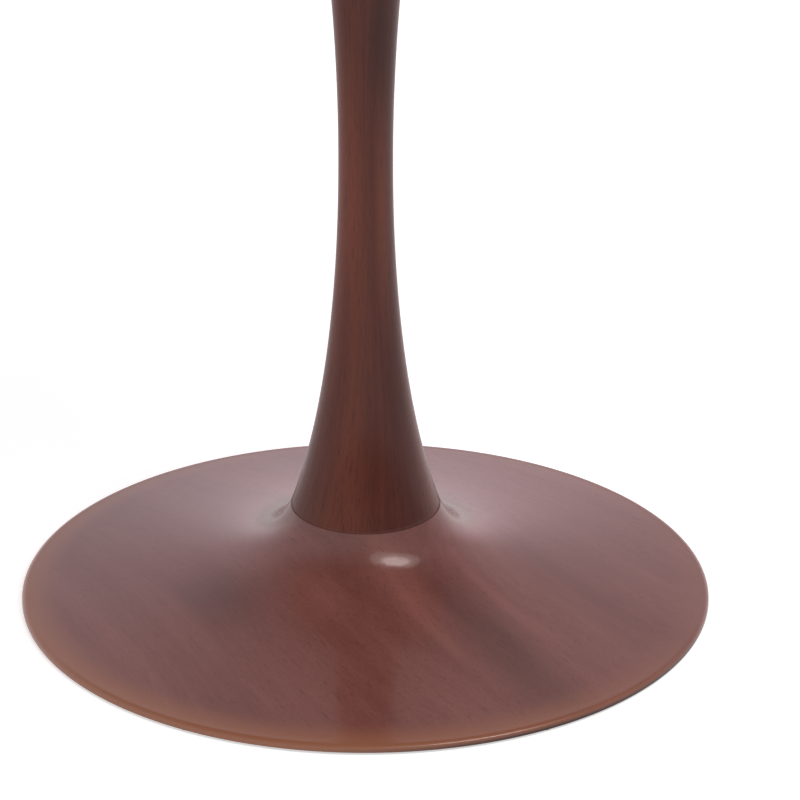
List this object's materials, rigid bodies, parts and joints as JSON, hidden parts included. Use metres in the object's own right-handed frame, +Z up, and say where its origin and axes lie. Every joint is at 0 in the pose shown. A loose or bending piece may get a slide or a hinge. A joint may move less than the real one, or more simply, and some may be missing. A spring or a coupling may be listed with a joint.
{
  "type": "tilt top table",
  "caption": "Round walnut pedestal table: a turned trumpet column on a shallow round foot, with a top that tilts upright on a block and locks level with a barrel bolt.",
  "frame": {"origin": "on the floor, at the foot of the column's axis", "axes": "+Z up; the top tilts about an axis parallel to X, and its face turns to -Y, the front; the barrel bolt is on the +Y side"},
  "size_m": [0.8999, 0.9, 0.74],
  "materials": {
    "foot_walnut": "straight-grained walnut veneer, satin lacquer",
    "column_walnut": "turned walnut, satin lacquer",
    "top_walnut": "walnut, satin lacquer",
    "frame_walnut": "planed walnut, oiled",
    "core_board": "raw fibreboard edge",
    "dowel_beech": "plain turned beech",
    "shell_black": "black primer, matt",
    "ballast_iron": "as cast, painted black",
    "cover_board": "black fibre sheet",
    "zinc_steel": "bright zinc plated",
    "brass": "satin brass, lacquered",
    "nylon_black": "moulded nylon",
    "felt_brown": "pressed wool felt"
  },
  "bodies": {
    "pedestal": {"foot_veneer": "foot_walnut", "foot_shell": "shell_black", "foot_ballast": "ballast_iron", "foot_cover": "cover_board", "cover_screws": "zinc_steel", "floor_glides": "nylon_black", "neck_spacer": "zinc_steel", "locating_ring": "zinc_steel", "column": "column_walnut", "tie_rod": "zinc_steel", "lower_washer": "zinc_steel", "lower_nut": "zinc_steel", "upper_washer": "zinc_steel", "upper_nut": "zinc_steel", "pivot_block": "frame_walnut", "block_dowels": "dowel_beech", "rest_pads": "felt_brown", "stop_pads": "felt_brown", "pivot_pin_left": "brass", "pivot_pin_right": "brass", "bolt_keeper": "brass", "keeper_screws": "brass"},
    "top": {"pivot_bush_left": "nylon_black", "pivot_bush_right": "nylon_black", "pivot_washer_left": "nylon_black", "pivot_washer_right": "nylon_black", "bearer_left": "frame_walnut", "bearer_right": "frame_walnut", "bearer_screws_left": "zinc_steel", "bearer_screws_right": "zinc_steel", "top_core": "core_board", "edge_lipping": "top_walnut", "top_veneer": "top_walnut", "under_veneer": "top_walnut", "bolt_plate": "brass", "bolt_plate_screws": "brass"},
    "catch": {"sliding_bolt": "brass", "bolt_knob": "brass"}
  },
  "joints": [
    {"name": "top_tilt", "type": "hinge", "parent": "pedestal", "child": "top", "pos_m": [0, -0.067, 0.698], "axis": [1, 0, 0], "range_deg": [0, 90]},
    {"name": "catch_slide", "type": "slide", "parent": "top", "child": "catch", "axis": [0, -1, 0], "range_m": [0, 0.014]}
  ]
}
